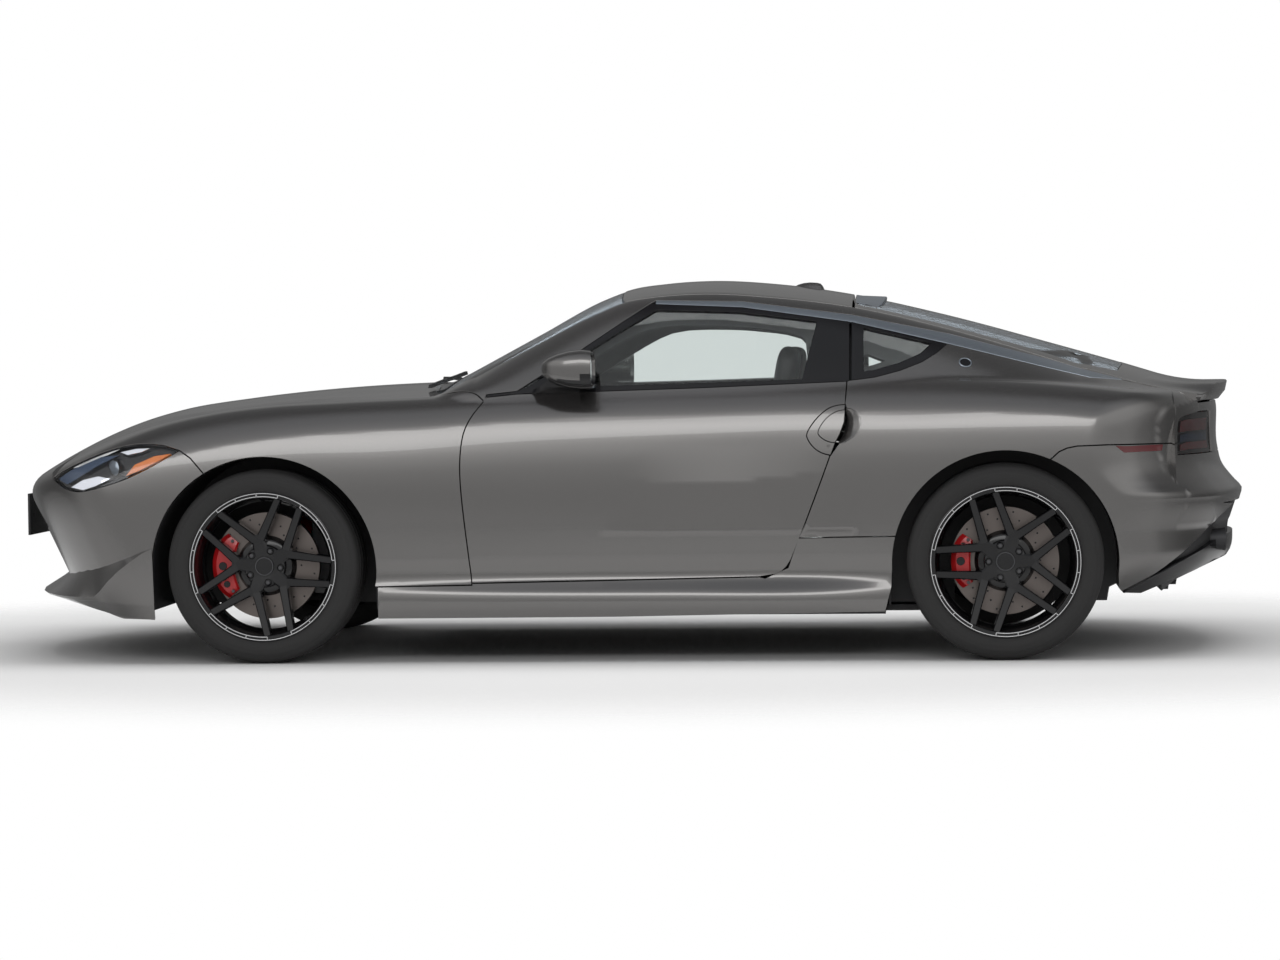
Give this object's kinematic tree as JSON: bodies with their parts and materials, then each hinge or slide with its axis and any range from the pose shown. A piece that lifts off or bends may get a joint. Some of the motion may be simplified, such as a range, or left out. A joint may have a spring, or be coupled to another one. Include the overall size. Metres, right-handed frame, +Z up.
{
  "type": "two-door fastback coupe",
  "caption": "Two-door fastback coupe with opening doors, hood and rear hatch, steered front wheels and free-rolling wheels.",
  "frame": {"origin": "on the floor under the middle of the overall length, on the centre plane", "axes": "+Z up, -X towards the nose, -Y towards the car's left side"},
  "size_m": [4.43, 1.9402, 1.3171],
  "materials": {
    "body_paint": "mid grey metallic with clear coat",
    "gloss_black": "gloss black",
    "dark_plastic": "matt black moulding",
    "tinted_glass": "tinted",
    "lamp_clear": "clear lamp cover",
    "lamp_smoked": "smoked red",
    "wheel_black": "gloss black with machined edges",
    "disc_iron": "turned",
    "caliper_red": "gloss red",
    "tyre": "rubber",
    "chassis_steel": "coated steel",
    "engine_alloy": "cast",
    "seat_leather": "black leather",
    "cabin_plastic": "soft black"
  },
  "bodies": {
    "shell": {"cowl_panel": "gloss_black", "dashboard": "cabin_plastic", "engine": "engine_alloy", "exhaust": "chassis_steel", "floor_pan": "chassis_steel", "front_bumper": "body_paint", "front_fenders": "body_paint", "front_grille": "gloss_black", "front_subframe": "chassis_steel", "headlamps": "lamp_clear", "plate_bracket": "gloss_black", "quarter_panels": "body_paint", "quarter_windows": "tinted_glass", "rear_bumper": "body_paint", "rear_calipers": "caliper_red", "rear_diffuser": "gloss_black", "rear_suspension": "chassis_steel", "roof_panel": "body_paint", "seats": "seat_leather", "side_frames": "gloss_black", "sills": "body_paint", "steering_wheel": "cabin_plastic", "tail_lamps": "lamp_smoked", "wheelhouses": "dark_plastic", "windscreen": "tinted_glass"},
    "left_door": {"door_left": "body_paint", "door_glass_left": "tinted_glass", "mirror_left": "body_paint"},
    "right_door": {"door_right": "body_paint", "door_glass_right": "tinted_glass", "mirror_right": "body_paint"},
    "hood": {"hood": "body_paint"},
    "hatch": {"hatch_panel": "body_paint", "hatch_glass": "tinted_glass"},
    "front_left_knuckle": {"front_knuckle_left": "chassis_steel", "front_caliper_left": "caliper_red"},
    "front_right_knuckle": {"front_knuckle_right": "chassis_steel", "front_caliper_right": "caliper_red"},
    "front_left_wheel": {"front_tyre_left": "tyre", "front_rim_left": "wheel_black", "front_brake_disc_left": "disc_iron"},
    "front_right_wheel": {"front_tyre_right": "tyre", "front_rim_right": "wheel_black", "front_brake_disc_right": "disc_iron"},
    "rear_left_wheel": {"rear_tyre_left": "tyre", "rear_rim_left": "wheel_black", "rear_brake_disc_left": "disc_iron"},
    "rear_right_wheel": {"rear_tyre_right": "tyre", "rear_rim_right": "wheel_black", "rear_brake_disc_right": "disc_iron"}
  },
  "joints": [
    {"name": "left_door_hinge", "type": "hinge", "parent": "shell", "child": "left_door", "pos_m": [-0.527, -0.9, 0.55], "axis": [0, 0, -1], "range_deg": [0, 62]},
    {"name": "right_door_hinge", "type": "hinge", "parent": "shell", "child": "right_door", "pos_m": [-0.527, 0.9, 0.55], "axis": [0, 0, 1], "range_deg": [0, 62]},
    {"name": "hood_hinge", "type": "hinge", "parent": "shell", "child": "hood", "pos_m": [-0.588, 0, 0.963], "axis": [0, 1, 0], "range_deg": [0, 48]},
    {"name": "hatch_hinge", "type": "hinge", "parent": "shell", "child": "hatch", "pos_m": [0.834, 0, 1.262], "axis": [0, -1, 0], "range_deg": [0, 60]},
    {"name": "left_steering", "type": "hinge", "parent": "shell", "child": "front_left_knuckle", "pos_m": [-1.212, -0.76, 0.335], "axis": [0, 0, 1], "range_deg": [-33, 33]},
    {"name": "right_steering", "type": "hinge", "parent": "shell", "child": "front_right_knuckle", "pos_m": [-1.212, 0.76, 0.335], "axis": [0, 0, 1], "range_deg": [-33, 33]},
    {"name": "front_left_wheel_spin", "type": "hinge", "parent": "front_left_knuckle", "child": "front_left_wheel", "pos_m": [-1.212, -0.777, 0.335], "axis": [0, -1, 0], "continuous": true},
    {"name": "front_right_wheel_spin", "type": "hinge", "parent": "front_right_knuckle", "child": "front_right_wheel", "pos_m": [-1.212, 0.777, 0.335], "axis": [0, -1, 0], "continuous": true},
    {"name": "rear_left_wheel_spin", "type": "hinge", "parent": "shell", "child": "rear_left_wheel", "pos_m": [1.338, -0.782, 0.335], "axis": [0, -1, 0], "continuous": true},
    {"name": "rear_right_wheel_spin", "type": "hinge", "parent": "shell", "child": "rear_right_wheel", "pos_m": [1.338, 0.782, 0.335], "axis": [0, -1, 0], "continuous": true}
  ],
  "couplings": [
    {"joint": "right_steering", "follows": "left_steering", "ratio": 1}
  ]
}
